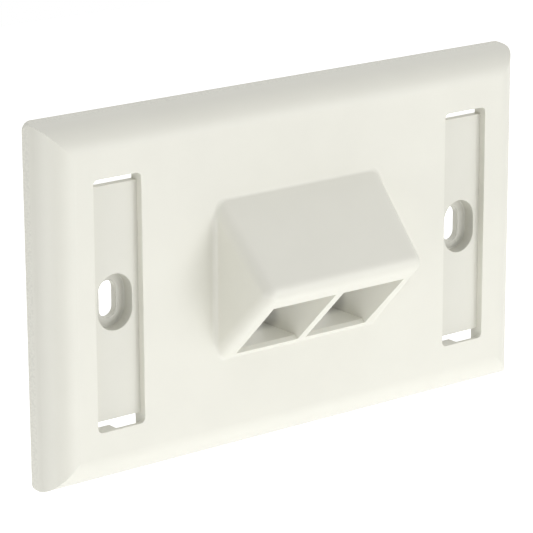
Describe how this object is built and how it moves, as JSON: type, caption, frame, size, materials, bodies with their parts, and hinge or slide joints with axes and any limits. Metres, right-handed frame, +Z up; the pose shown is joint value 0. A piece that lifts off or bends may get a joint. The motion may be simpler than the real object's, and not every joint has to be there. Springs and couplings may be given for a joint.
{
  "type": "keystone faceplate",
  "caption": "Horizontal single-gang wall plate with a 45 degree hood that holds two keystone jacks, and a label bay with a screw slot at each end.",
  "frame": {"origin": "centre of the plate on its wall plane, midway between the two screw slots", "axes": "+Z up, +X along the long side, -Y out of the wall towards the room"},
  "size_m": [0.1142, 0.025, 0.0698],
  "materials": {
    "shell": "satin moulded ABS, off-white"
  },
  "bodies": {
    "root": {"faceplate": "shell"}
  },
  "joints": []
}
